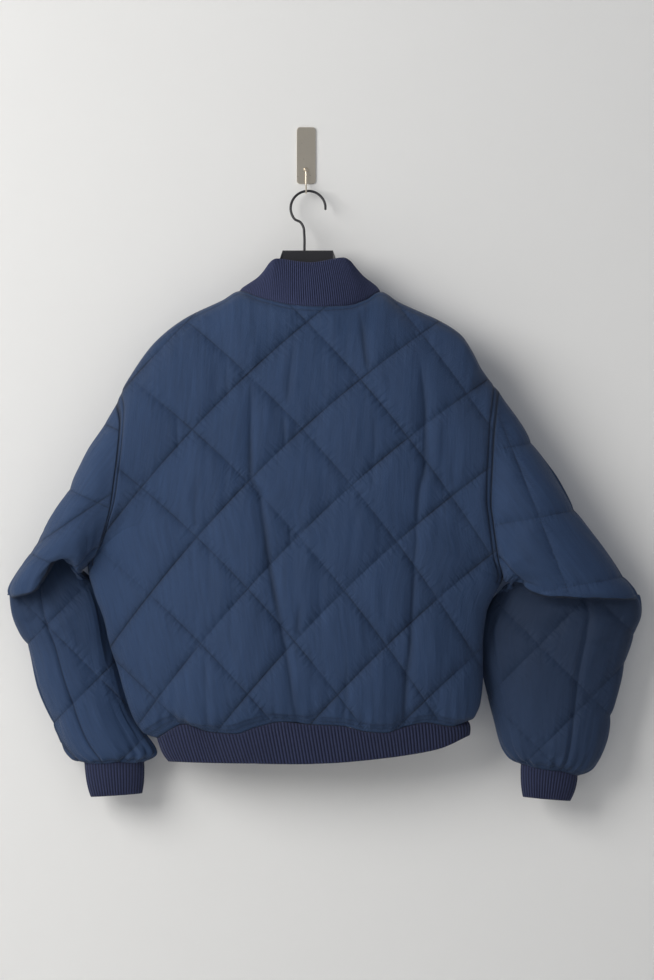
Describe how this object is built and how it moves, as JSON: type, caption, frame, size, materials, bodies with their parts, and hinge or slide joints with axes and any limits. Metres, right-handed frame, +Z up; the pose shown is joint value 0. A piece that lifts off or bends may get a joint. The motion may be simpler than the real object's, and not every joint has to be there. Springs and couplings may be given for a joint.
{
  "type": "quilted bomber jacket on a hanger and wall hook",
  "caption": "Navy diamond-quilted bomber jacket with ribbed collar, hem and cuffs, closed by a zip, hung back outward on a black hanger from a steel wall hook",
  "frame": {"origin": "centre of the wall plate's back face, where it meets the wall", "axes": "+Y into the wall, +Z up, +X to the right of someone who faces the wall and sees the jacket's back"},
  "size_m": [0.8809, 0.1336, 0.9467],
  "materials": {
    "quilted_cloth": "fine plain weave, faint sheen, stitched in large diamonds",
    "rib_knit": "matte vertical rib knit",
    "zip_tape": "matte woven tape",
    "zip_metal": "satin metal",
    "hanger_black": "matte black",
    "holder_steel": "satin steel"
  },
  "bodies": {
    "jacket": {"back_panel": "quilted_cloth", "front_left": "quilted_cloth", "front_right": "quilted_cloth", "sleeve_left_upper": "quilted_cloth", "sleeve_left_under": "quilted_cloth", "sleeve_right_upper": "quilted_cloth", "sleeve_right_under": "quilted_cloth", "collar": "rib_knit", "hem_rib": "rib_knit", "cuff_left": "rib_knit", "cuff_right": "rib_knit", "zip_tape": "zip_tape", "zip_slider": "zip_metal", "hanger_body": "hanger_black", "hanger_hook": "hanger_black", "wall_plate": "holder_steel", "wall_wire_hook": "holder_steel"},
    "zip_pull": {"zip_pull": "zip_metal"}
  },
  "joints": [
    {"name": "zip_pull_swing", "type": "hinge", "parent": "jacket", "child": "zip_pull", "pos_m": [0.0014, -0.02012, -0.30498], "axis": [1, 0, 0], "range_deg": [0, 140]}
  ]
}
